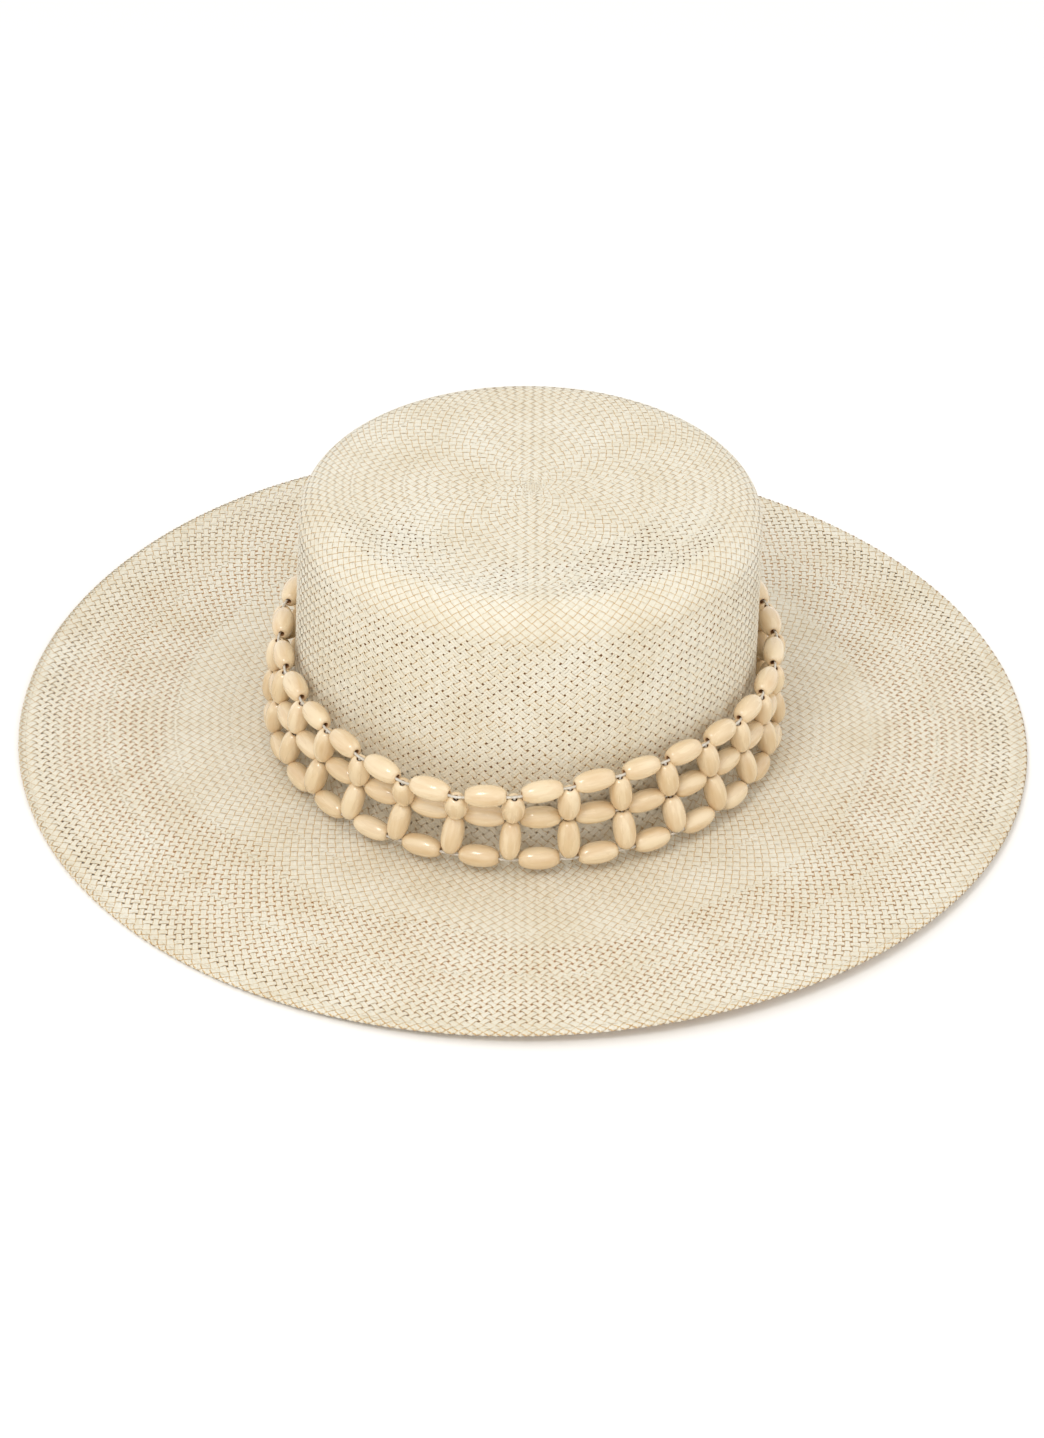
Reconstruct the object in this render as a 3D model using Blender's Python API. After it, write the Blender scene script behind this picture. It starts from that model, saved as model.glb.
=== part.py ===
"""Panama hat with a flat crown, a wide brim and a net of wooden beads round the crown.

Metres, +Z up. The hat stands on its brim on the plane z = 0, centred on the Z axis, with its front
towards -Y. Turns are measured round Z from the front, positive towards +X.
"""

import math

import bmesh
import bpy
from mathutils import Vector

MM = 0.001
GAP = 0.35 * MM  # clearance between separate pieces

# Crown: outer half sizes of its oval, above the fillet and below the shoulder.
CROWN_HEIGHT = 100.5 * MM
BASE_HALF_WIDTH = 87.1 * MM
BASE_HALF_LENGTH = 94.7 * MM
TOP_HALF_WIDTH = 85.6 * MM
TOP_HALF_LENGTH = 86.1 * MM
SHOULDER_RADIUS = 13.5 * MM
FILLET_RADIUS = 8.0 * MM
CROWN_LEAN = 1.5 * MM  # how far the top has moved towards +X

# Brim: half sizes of its edge, and the gentle wave of a straw brim that has been worn.
BRIM_HALF_WIDTH = 190.0 * MM
BRIM_HALF_LENGTH = 197.0 * MM
SADDLE_WAVE = 2.2 * MM
SADDLE_TURN = math.radians(28.0)
SHORT_WAVE = 0.4 * MM
LEVEL_SHARE = 0.2  # the inner part of the brim that the wave leaves level

# Straw sheet and the edge that is turned under.
SHEET = 1.1 * MM
HEM_SHEET = 0.8 * MM
HEM_WIDTH = 3.4 * MM
HEM_SLIT = 0.3 * MM

# Sweatband, sewn in at the head opening.
BAND_HEIGHT = 29.0 * MM
BAND_FOOT = 1.0 * MM
BAND_THICKNESS = 0.9 * MM
TAB_WIDTH = 18.0 * MM
TAB_HEIGHT = 12.0 * MM
TAB_THICKNESS = 0.6 * MM
TAB_FOOT = 10.0 * MM
STITCH_RADIUS = 0.22 * MM
STITCH_INSET = 2.2 * MM  # from the brim's edge
STITCH_HEIGHT = 3.6 * MM  # over the brim, on the sweatband

# Bead net: each column has one bead along the ring in each of three rows, and two upright beads.
COLUMNS = 29
FRONT_COLUMN = 6
FRONT_COLUMN_TURN = math.radians(-2.6)
NET_HALF_WIDTH = 87.0 * MM  # the oval that the net's offsets are counted from
NET_HALF_LENGTH = 94.0 * MM
RUNG_LENGTH = 15.9 * MM  # between two rows, along an upright bead
BEAD_LENGTH = 14.2 * MM
UPRIGHT_LENGTH = 13.6 * MM
BEAD_RADIUS = 4.0 * MM
BEAD_END_RADIUS = 1.8 * MM
CORD_RADIUS = 0.5 * MM
CORD_REACH = 0.4 * MM  # how far the cord runs past a knot before it enters a bead
NECK = 0.25 * MM  # how far in front of a bead its cord ends
UPRIGHT_STEP = 0.8 * MM  # upright beads stand this far in front of the rows
DRAPE_LEAN = 0.70  # the slack top row falls forward, most at the drape's middle, in radians
DRAPE_TURN = math.radians(-17.5)
DRAPE_SPREAD = math.radians(31.0)
KNOT_RADIUS = 1.7 * MM

TURN_STEPS = 56
BEAD_SIDES = 6


def around(turn, mean, front=0.0, right=0.0, ends=0.0, corners=0.0):
    """A size that changes round the hat.

    It grows by front at the front and shrinks by it at the back, and the same for right and left.
    ends adds at the front and the back, corners between front and right and opposite.
    """
    once = front * math.cos(turn) + right * math.sin(turn)
    twice = ends * math.cos(2 * turn) + corners * math.sin(2 * turn)
    return mean + once + twice


def brim_wave(turn):
    """Rise of the brim's edge over the level of the crown's foot."""
    saddle = SADDLE_WAVE * math.cos(2 * (turn - SADDLE_TURN))
    return saddle + SHORT_WAVE * math.sin(4 * turn)


def turns():
    return [2 * math.pi * step / TURN_STEPS for step in range(TURN_STEPS)]


HEM_DEPTH = SHEET + HEM_SLIT + HEM_SHEET
BRIM_LEVEL = HEM_DEPTH - min(brim_wave(turn) for turn in turns())


class Station:
    """One level of the hat's outer face: an oval, a height over the brim and a normal."""

    def __init__(self, half_width, half_length, height, out, up, wave_share=0.0):
        self.half_width = half_width
        self.half_length = half_length
        self.height = height
        self.out = out
        self.up = up
        self.wave_share = wave_share

    def ring(self, depth=0.0, inset=0.0):
        """The oval's points, depth behind the outer face and inset towards the crown."""
        half_width = self.half_width - depth * self.out - inset
        half_length = self.half_length - depth * self.out - inset
        height = self.height - depth * self.up
        lean = CROWN_LEAN * max(height, 0.0) / CROWN_HEIGHT
        points = []
        for turn in turns():
            rise = self.wave_share * brim_wave(turn)
            x = half_width * math.sin(turn) + lean
            y = -half_length * math.cos(turn)
            points.append(Vector((x, y, BRIM_LEVEL + height + rise)))
        return points


def wall_station(height):
    """The crown's wall, from the fillet up to the shoulder."""
    share = (height - FILLET_RADIUS) / (CROWN_HEIGHT - SHOULDER_RADIUS - FILLET_RADIUS)
    half_width = BASE_HALF_WIDTH + share * (TOP_HALF_WIDTH - BASE_HALF_WIDTH)
    half_length = BASE_HALF_LENGTH + share * (TOP_HALF_LENGTH - BASE_HALF_LENGTH)
    return Station(half_width, half_length, height, 1.0, 0.0)


def shoulder_station(angle):
    """The rounding between the crown's top, at 90 degrees, and its wall, at 0."""
    back = SHOULDER_RADIUS * (1.0 - math.cos(angle))
    height = CROWN_HEIGHT - SHOULDER_RADIUS * (1.0 - math.sin(angle))
    return Station(
        TOP_HALF_WIDTH - back,
        TOP_HALF_LENGTH - back,
        height,
        math.cos(angle),
        math.sin(angle),
    )


def fillet_station(angle):
    """The hollow rounding between the wall, at 0 degrees, and the brim, at 90."""
    forward = FILLET_RADIUS * (1.0 - math.cos(angle))
    height = FILLET_RADIUS * (1.0 - math.sin(angle))
    return Station(
        BASE_HALF_WIDTH + forward,
        BASE_HALF_LENGTH + forward,
        height,
        math.cos(angle),
        math.sin(angle),
    )


def brim_station(share):
    """The brim, from its root at the fillet, at 0, to its edge, at 1."""
    root_width = BASE_HALF_WIDTH + FILLET_RADIUS
    root_length = BASE_HALF_LENGTH + FILLET_RADIUS
    wave_share = max(share - LEVEL_SHARE, 0.0) / (1.0 - LEVEL_SHARE)
    return Station(
        root_width + share * (BRIM_HALF_WIDTH - root_width),
        root_length + share * (BRIM_HALF_LENGTH - root_length),
        0.0,
        0.0,
        1.0,
        wave_share,
    )


def new_material(name, color, roughness):
    material = bpy.data.materials.new(name)
    material.use_nodes = True
    shader = material.node_tree.nodes["Principled BSDF"]
    shader.inputs["Base Color"].default_value = (*color, 1.0)
    shader.inputs["Roughness"].default_value = roughness
    shader.inputs["Metallic"].default_value = 0.0
    material.diffuse_color = (*color, 1.0)
    return material


def add_object(name, bm, material):
    """Turns a bmesh into a named object with outward faces and soft shading."""
    bmesh.ops.recalc_face_normals(bm, faces=bm.faces)
    mesh = bpy.data.meshes.new(name)
    bm.to_mesh(mesh)
    bm.free()
    mesh.materials.append(material)
    mesh.shade_smooth()
    mesh.set_sharp_from_angle(angle=math.radians(50.0))
    obj = bpy.data.objects.new(name, mesh)
    bpy.context.scene.collection.objects.link(obj)
    return obj


def bridge(bm, lower, upper):
    """Faces between two closed rings with as many points each."""
    count = len(lower)
    for step in range(count):
        following = (step + 1) % count
        bm.faces.new((lower[step], lower[following], upper[following], upper[step]))


def closed_loft(rings):
    """A solid ring: each ring of points joins the next, and the last joins the first."""
    bm = bmesh.new()
    levels = [[bm.verts.new(point) for point in ring] for ring in rings]
    for index, level in enumerate(levels):
        bridge(bm, level, levels[(index + 1) % len(levels)])
    return bm


def capped_loft(rings):
    """A solid whose first and last rings are closed by flat caps."""
    bm = bmesh.new()
    levels = [[bm.verts.new(point) for point in ring] for ring in rings]
    for lower, upper in zip(levels, levels[1:]):
        bridge(bm, lower, upper)
    bm.faces.new(reversed(levels[0]))
    bm.faces.new(levels[-1])
    return bm


def outer_stations():
    """The hat's outer face from the crown's top to the brim's edge."""
    stations = [shoulder_station(math.radians(90.0 - 18.0 * step)) for step in range(6)]
    stations.append(wall_station(0.5 * CROWN_HEIGHT))
    stations += [fillet_station(math.radians(30.0 * step)) for step in range(4)]
    stations += [brim_station(share) for share in (LEVEL_SHARE, 0.6, 1.0)]
    return stations


def make_hat_body(material):
    """Crown, brim and turned-under edge: one sheet of woven straw."""
    stations = outer_stations()
    edge = stations[-1]
    rings = [station.ring() for station in stations]
    rings.append(edge.ring(0.5 * HEM_DEPTH, inset=-0.4 * MM))
    rings.append(edge.ring(HEM_DEPTH, inset=0.4 * MM))
    rings.append(edge.ring(HEM_DEPTH, inset=HEM_WIDTH))
    rings.append(edge.ring(HEM_DEPTH - HEM_SHEET, inset=HEM_WIDTH))
    rings.append(edge.ring(HEM_DEPTH - HEM_SHEET, inset=1.2 * MM))
    rings.append(edge.ring(SHEET, inset=1.2 * MM))
    rings += [station.ring(SHEET) for station in reversed(stations[:-1])]
    bm = capped_loft(rings)
    return add_object("hat_body", bm, material)


def make_sweatband(material):
    """A plain band that lines the head opening."""
    rings = []
    for depth, height in (
        (SHEET + GAP, BAND_FOOT),
        (SHEET + GAP, BAND_FOOT + BAND_HEIGHT),
        (SHEET + GAP + BAND_THICKNESS, BAND_FOOT + BAND_HEIGHT),
        (SHEET + GAP + BAND_THICKNESS, BAND_FOOT),
    ):
        rings.append(wall_station(height).ring(depth))
    return add_object("sweatband", closed_loft(rings), material)


def make_thread_ring(name, station, depth, lift, material):
    """A sewing thread that runs all round at one station of the hat."""
    rings = []
    for side in range(4):
        angle = math.radians(90.0 * side)
        reach = STITCH_RADIUS * math.cos(angle)
        rise = Vector((0.0, 0.0, lift + STITCH_RADIUS * math.sin(angle)))
        rings.append([point + rise for point in station.ring(depth, inset=reach)])
    return add_object(name, closed_loft(rings), material)


def make_hem_stitching(material):
    """The row of stitches that holds the turned-under edge, seen from above."""
    edge = brim_station(1.0)
    edge.half_width -= STITCH_INSET
    edge.half_length -= STITCH_INSET
    lift = GAP + STITCH_RADIUS
    return make_thread_ring("hem_stitching", edge, 0.0, lift, material)


def make_sweatband_stitching(material):
    """The row of stitches along the sweatband's lower edge, on its inner face."""
    station = wall_station(STITCH_HEIGHT)
    depth = SHEET + GAP + BAND_THICKNESS + GAP + STITCH_RADIUS
    return make_thread_ring("sweatband_stitching", station, depth, 0.0, material)


def make_size_tab(material):
    """A small blank woven tab on the sweatband's inner face, at the back."""
    depth = SHEET + GAP + BAND_THICKNESS
    middle = wall_station(TAB_FOOT + 0.5 * TAB_HEIGHT)
    sag = 0.5 * (0.5 * TAB_WIDTH) ** 2 * middle.half_length / middle.half_width**2
    top = wall_station(TAB_FOOT + TAB_HEIGHT).half_length
    outer = top - depth - GAP - sag
    inner = outer - TAB_THICKNESS
    rings = []
    for height in (TAB_FOOT, TAB_FOOT + TAB_HEIGHT):
        z = BRIM_LEVEL + height
        corners = ((-1, inner), (1, inner), (1, outer), (-1, outer))
        rings.append([Vector((0.5 * TAB_WIDTH * side, y, z)) for side, y in corners])
    return add_object("size_tab", capped_loft(rings), material)


def wall_point(turn, offset, drift, height):
    """A point in front of the crown's foot: offset out of it and drift along it."""
    normal = Vector((math.sin(turn) / NET_HALF_WIDTH, -math.cos(turn) / NET_HALF_LENGTH, 0.0))
    normal.normalize()
    tangent = Vector((-normal.y, normal.x, 0.0))
    foot = Vector((NET_HALF_WIDTH * math.sin(turn), -NET_HALF_LENGTH * math.cos(turn), 0.0))
    foot.x += CROWN_LEAN * height / CROWN_HEIGHT
    foot.z = BRIM_LEVEL + height
    return foot + offset * normal + drift * tangent, normal


def column_turns():
    """Turns that share out the net's columns evenly along the crown's foot."""
    fine = 2880
    step = 2 * math.pi / fine
    lengths = [0.0]
    for index in range(fine):
        turn = FRONT_COLUMN_TURN + (index + 0.5) * step
        speed = math.hypot(NET_HALF_WIDTH * math.cos(turn), NET_HALF_LENGTH * math.sin(turn))
        lengths.append(lengths[-1] + speed * step)
    found = []
    for column in range(COLUMNS):
        ahead = (column - FRONT_COLUMN) % COLUMNS
        wanted = lengths[-1] * ahead / COLUMNS
        index = next(i for i, length in enumerate(lengths) if length >= wanted)
        found.append(FRONT_COLUMN_TURN + index * step)
    return found


def column_knots(turn):
    """The three crossings of one column's cord with the rows, bottom to top, and the normal."""
    from_drape = math.remainder(turn - DRAPE_TURN, 2 * math.pi)
    drape = DRAPE_LEAN * math.exp(-((from_drape / DRAPE_SPREAD) ** 2))
    lower_lean = around(turn, -0.135, front=-0.073, right=-0.02, ends=-0.01)
    upper_lean = around(turn, -0.04, front=-0.06, right=0.055, corners=0.028) + drape
    middle_drift = MM * around(turn, 0.2, front=0.2, right=-3.35, corners=-0.4)
    top_drift = MM * around(turn, -1.5, front=2.5, right=-7.8, corners=-1.4)
    offset = MM * around(turn, 7.35, front=1.35, ends=-0.3)
    height = MM * around(turn, 6.7, front=-1.35, ends=0.8, corners=0.3)
    knots = []
    point, normal = wall_point(turn, offset, 0.0, height)
    knots.append(point)
    drift = 0.0
    for lean, new_drift in ((lower_lean, middle_drift), (upper_lean, top_drift)):
        reach = math.sqrt(RUNG_LENGTH**2 - (new_drift - drift) ** 2)
        offset += reach * math.sin(lean)
        height += reach * math.cos(lean)
        drift = new_drift
        knots.append(wall_point(turn, offset, drift, height)[0])
    return knots, normal


def ring_round(bm, middle, along, aside, radius, sides):
    """A ring of points square to along. Its sides are counted from the direction aside."""
    along = along.normalized()
    first = (aside - aside.dot(along) * along).normalized()
    second = along.cross(first)
    ring = []
    for side in range(sides):
        angle = 2 * math.pi * (side + 0.5) / sides
        spoke = math.cos(angle) * first + math.sin(angle) * second
        ring.append(bm.verts.new(middle + radius * spoke))
    return ring


def zip_rings(bm, lower, upper, along):
    """Triangles between two rings round one line that have different numbers of points."""
    along = along.normalized()
    first = along.orthogonal()
    second = along.cross(first)
    sorted_rings = []
    for ring in (lower, upper):
        middle = sum((vert.co for vert in ring), Vector()) / len(ring)
        turned = []
        for vert in ring:
            spoke = vert.co - middle
            angle = math.atan2(spoke.dot(second), spoke.dot(first)) % (2 * math.pi)
            turned.append((angle, vert.index, vert))
        turned.sort(key=lambda item: item[0])
        turned.append((turned[0][0] + 2 * math.pi, 0, turned[0][2]))
        sorted_rings.append(turned)
    one, two = sorted_rings
    i = 0
    j = 0
    while i < len(lower) or j < len(upper):
        if j == len(upper) or (i < len(lower) and one[i + 1][0] <= two[j + 1][0]):
            bm.faces.new((one[i][2], one[i + 1][2], two[j][2]))
            i += 1
        else:
            bm.faces.new((one[i][2], two[j + 1][2], two[j][2]))
            j += 1


def add_bead(bm, neck, middle, along, aside, length):
    """An oval bead with blunt ends that grows out of the ring neck. Returns its far end."""
    half = 0.5 * length * along.normalized()
    shape = ((-1.0, BEAD_END_RADIUS), (-0.45, BEAD_RADIUS), (0.45, BEAD_RADIUS))
    rings = []
    for share, radius in (*shape, (1.0, BEAD_END_RADIUS)):
        rings.append(ring_round(bm, middle + share * half, along, aside, radius, BEAD_SIDES))
    zip_rings(bm, neck, rings[0], along)
    for lower, upper in zip(rings, rings[1:]):
        bridge(bm, lower, upper)
    return rings[-1]


def cord_collar(bm, knot, along, aside):
    """A short run of square cord across a knot: its lower and its upper ring."""
    reach = CORD_REACH * along.normalized()
    lower = ring_round(bm, knot - reach, along, aside, CORD_RADIUS, 4)
    upper = ring_round(bm, knot + reach, along, aside, CORD_RADIUS, 4)
    for side in range(3):
        bm.faces.new((lower[side], lower[side + 1], upper[side + 1], upper[side]))
    return lower, upper


def add_row_bead(bm, collar, middle, along):
    """A bead of a row, on the cord that leaves the open side of a collar."""
    lower, upper = collar
    mouth = (lower[3], lower[0], upper[0], upper[3])
    centre = sum((vert.co for vert in mouth), Vector()) / 4
    end = middle - (0.5 * BEAD_LENGTH + NECK) * along.normalized()
    neck = [bm.verts.new(end + vert.co - centre) for vert in mouth]
    bridge(bm, mouth, neck)
    bm.faces.new(add_bead(bm, neck, middle, along, Vector((0.0, 0.0, 1.0)), BEAD_LENGTH))


def make_bead_column(index, here, following, material):
    """Five beads on their cord: two upright ones, and one of each row towards the next column."""
    knots, normal = here
    step = UPRIGHT_STEP * normal
    aside = Vector((-normal.y, normal.x, 0.0))
    bm = bmesh.new()
    lean = (knots[1] - knots[0], knots[2] - knots[0], knots[2] - knots[1])
    collars = [cord_collar(bm, knot + step, along, aside) for knot, along in zip(knots, lean)]
    for below, above, lower, upper in zip(collars, collars[1:], knots, knots[1:]):
        middle = 0.5 * (lower + upper) + step
        end = add_bead(bm, below[1], middle, upper - lower, aside, UPRIGHT_LENGTH)
        zip_rings(bm, end, above[0], upper - lower)
    bm.faces.new(collars[0][0])
    bm.faces.new(collars[2][1])
    for collar, knot, next_knot in zip(collars, knots, following[0]):
        add_row_bead(bm, collar, 0.5 * (knot + next_knot), next_knot - knot)
    return add_object(f"bead_column_{index + 1:02d}", bm, material)


def make_bead_knot(columns, material):
    """The knot that closes the cord, above the top row at the back."""
    here = columns[20]
    along = columns[21][0][2] - here[0][2]
    middle = here[0][2] + 0.16 * along + Vector((0.0, 0.0, 5.2 * MM))
    bm = bmesh.new()
    bmesh.ops.create_icosphere(bm, subdivisions=1, radius=KNOT_RADIUS)
    bmesh.ops.translate(bm, verts=bm.verts, vec=middle)
    return add_object("bead_cord_knot", bm, material)


def make_bead_net(bead_material, cord_material):
    """The whole net, hung on an empty that stands on the line it lifts off along."""
    slide = bpy.data.objects.new("bead_net_slide", None)
    slide.location = (0.0, 0.0, BRIM_LEVEL)
    bpy.context.scene.collection.objects.link(slide)
    columns = [column_knots(turn) for turn in column_turns()]
    pieces = []
    for index, here in enumerate(columns):
        following = columns[(index + 1) % COLUMNS]
        pieces.append(make_bead_column(index, here, following, bead_material))
    pieces.append(make_bead_knot(columns, cord_material))
    bpy.context.view_layer.update()
    for piece in pieces:
        piece.parent = slide
        piece.matrix_parent_inverse = slide.matrix_world.inverted()


def main():
    for obj in list(bpy.data.objects):
        bpy.data.objects.remove(obj, do_unlink=True)
    straw = new_material("straw", (0.80, 0.74, 0.60), 0.65)
    wood = new_material("bead_wood", (0.78, 0.62, 0.42), 0.30)
    cord = new_material("bead_cord", (0.85, 0.82, 0.74), 0.25)
    fabric = new_material("sweatband_fabric", (0.74, 0.68, 0.55), 0.85)
    thread = new_material("sewing_thread", (0.82, 0.77, 0.65), 0.70)
    tab = new_material("tab_fabric", (0.88, 0.86, 0.80), 0.80)
    make_hat_body(straw)
    make_hem_stitching(thread)
    make_sweatband(fabric)
    make_sweatband_stitching(thread)
    make_size_tab(tab)
    make_bead_net(wood, cord)


main()
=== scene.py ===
"""The looks of a straw panama hat with a net of wooden beads round its crown."""

import math

import bmesh
import bpy
import numpy as np
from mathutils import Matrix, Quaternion, Vector


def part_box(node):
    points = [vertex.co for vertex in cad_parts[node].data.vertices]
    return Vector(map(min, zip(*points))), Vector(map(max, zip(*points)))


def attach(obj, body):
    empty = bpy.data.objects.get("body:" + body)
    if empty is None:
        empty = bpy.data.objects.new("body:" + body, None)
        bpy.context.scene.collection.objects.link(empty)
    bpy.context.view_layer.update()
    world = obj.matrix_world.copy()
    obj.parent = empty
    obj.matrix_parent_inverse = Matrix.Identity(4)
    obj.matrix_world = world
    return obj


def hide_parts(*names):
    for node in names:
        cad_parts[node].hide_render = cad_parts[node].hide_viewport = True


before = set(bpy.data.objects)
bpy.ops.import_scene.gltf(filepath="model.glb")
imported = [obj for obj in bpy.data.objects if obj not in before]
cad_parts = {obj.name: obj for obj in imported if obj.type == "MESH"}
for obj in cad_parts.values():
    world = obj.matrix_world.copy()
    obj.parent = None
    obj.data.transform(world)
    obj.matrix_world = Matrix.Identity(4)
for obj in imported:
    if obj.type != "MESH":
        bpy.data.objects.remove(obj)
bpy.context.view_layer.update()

MM = 0.001

# The hat's shape, as the CAD has it.
CROWN_HEIGHT = 100.5 * MM
BASE_HALF_WIDTH = 87.1 * MM
BASE_HALF_LENGTH = 94.7 * MM
TOP_HALF_WIDTH = 85.6 * MM
TOP_HALF_LENGTH = 86.1 * MM
SHOULDER_RADIUS = 13.5 * MM
FILLET_RADIUS = 8.0 * MM
CROWN_LEAN = 1.5 * MM
BRIM_HALF_WIDTH = 189.3 * MM
BRIM_HALF_LENGTH = 196.3 * MM
EDGE_RADIUS = 1.1 * MM
HEM_WIDTH = 2.9 * MM
SADDLE_WAVE = 2.2 * MM
SADDLE_TURN = math.radians(28.0)
SHORT_WAVE = 0.4 * MM
LEVEL_SHARE = 0.2
BRIM_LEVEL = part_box("hat_body")[1].z - CROWN_HEIGHT

# How many rows of the profile each stretch has, from the crown's centre to the hem's end.
TOP_ROWS = 120
SHOULDER_ROWS = 40
WALL_ROWS = 120
FILLET_ROWS = 30
BRIM_ROWS = 240
EDGE_ROWS = 30
HEM_ROWS = 12
WALL_START = TOP_ROWS + SHOULDER_ROWS
BRIM_START = WALL_START + WALL_ROWS + FILLET_ROWS
FOLD_START = BRIM_START + BRIM_ROWS

# Straw strands.
WEAVE_DEPTH = 0.5 * MM  # the middle of the weave, below the hat's outer face
STRAND_RISE = 0.15 * MM  # how far a strand stands over or under the weave's middle
STRAND_CROWN = 0.06 * MM  # the rounding of a strand's back
STRAND_BELLY = 0.05 * MM  # the rounding of its underside
PAIR_GAP = -0.02  # between the two strands of a pair, as a share of a strand's pitch
TIGHT_GAP = 0.05  # between two pairs, where the weave is closed
OPEN_GAP = 0.44  # between two pairs, where it shows holes
GAP_SPREAD = 0.35  # how unequal the gaps are, as a share of each
GAP_NOISE = 0.03  # how much more they differ, as a share of a strand's pitch
WIDEST_GAP = 0.75
STRAND_WANDER = 0.022  # how far a strand strays sideways, as a share of its pitch
STRAND_SINK = 0.05 * MM  # how far all strands lie below WEAVE_DEPTH
RISE_NOISE = 0.015 * MM
STRAND_OVERHANG = 0.6  # how many rows a strand runs on past its zone, under the next one
BELLY_PAINTED_SHADE = 0.62  # painted shade on a strand's underside, standing in for warm bounced light inside the hat, on the scale of its edges' painted shade
OPEN_BRIM_START = 33 * MM  # how far out on the flat brim the weave opens up
CLOSED_RIM = 3.6 * MM  # how far from the brim's edge it closes again
NOISE_LENGTH = 0.1  # the run that the slow waves of the weave's openness are counted over

# Zones of the weave. Each has its own number of strand pairs, so new strands join in between them.
TOP_RADII = (2.4, 3.4, 4.8, 6.8, 9.4, 12.8, 17.2, 23.0, 30.0, 38.0, 47.0, 57.0, 66.0)  # mm
TOP_PAIR_PITCH = 3.75  # mm round the ring from one pair to the next, on the crown's top
WALL_PAIRS = 128
WALL_PIECES = 3
WALL_STRETCH = 1.2
WALL_FOOT = 4 * MM  # how far before the flat brim the wall's zone ends
BRIM_RADII = (114.0, 135.0, 160.0)  # mm
BRIM_PAIRS = (168, 202, 240, 282)
BRIM_PIECES = (1, 1, 2, 3)
HEM_MARGIN = 0.5 * MM / 0.19  # the spread of the half millimetre left bare at the hem's end
ROSETTE_STRANDS = 6
ROSETTE_PITCH = 0.95 * MM

# Bead net.
COLUMNS = 29
FRONT_COLUMN = 6
FRONT_COLUMN_TURN = math.radians(-2.6)
NET_HALF_WIDTH = 87.0 * MM
NET_HALF_LENGTH = 94.0 * MM
RUNG_LENGTH = 15.9 * MM
DRAPE_LEAN = 0.70
DRAPE_TURN = math.radians(-17.5)
DRAPE_SPREAD = math.radians(31.0)
BEAD_LENGTH = 14.9 * MM
BEAD_RADIUS = 4.15 * MM
BEAD_END_RADIUS = 1.85 * MM
BORE_RADIUS = 1.0 * MM
UPRIGHT_STEP = 0.8 * MM
CORD_RADIUS = 0.5 * MM
KNOT_RADIUS = 1.15 * MM
TURN_SAMPLES = 2881
CURVE_STEPS = 6  # from one given point of a smooth path to the next
BEAD_SIDES = 24
GRAIN_ACROSS = 260  # how fine the wood's grain is, across the bead and along it
GRAIN_ALONG = 45

# Sweatband and sewing.
WALL_THICKNESS = 1.1  # mm
BAND_GAP = 0.35  # mm, between the crown's wall and the band
BAND_COLUMNS = 560
BAND_STITCHES = 180
BAND_STITCH_HEIGHT = 3.6 * MM  # over the brim
HEM_STITCHES = 300
HEM_STITCH_INSET = 1.6 * MM  # from the brim's edge

random = np.random.default_rng(20)


# ---------------------------------------------------------------- shape of the hat


def around(turn, mean, front=0.0, right=0.0, ends=0.0, corners=0.0):
    """A size that changes round the hat.

    front and right add there and take away opposite. ends adds at the front and back and takes
    away at the sides. corners adds at the front right and back left, and takes away at the others.
    """
    once = front * math.cos(turn) + right * math.sin(turn)
    twice = ends * math.cos(2 * turn) + corners * math.sin(2 * turn)
    return mean + once + twice


def brim_wave(turn):
    """The rise of the brim's edge at a turn, in radians from the front towards the right."""
    return SADDLE_WAVE * np.cos(2 * (turn - SADDLE_TURN)) + SHORT_WAVE * np.sin(4 * turn)


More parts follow.
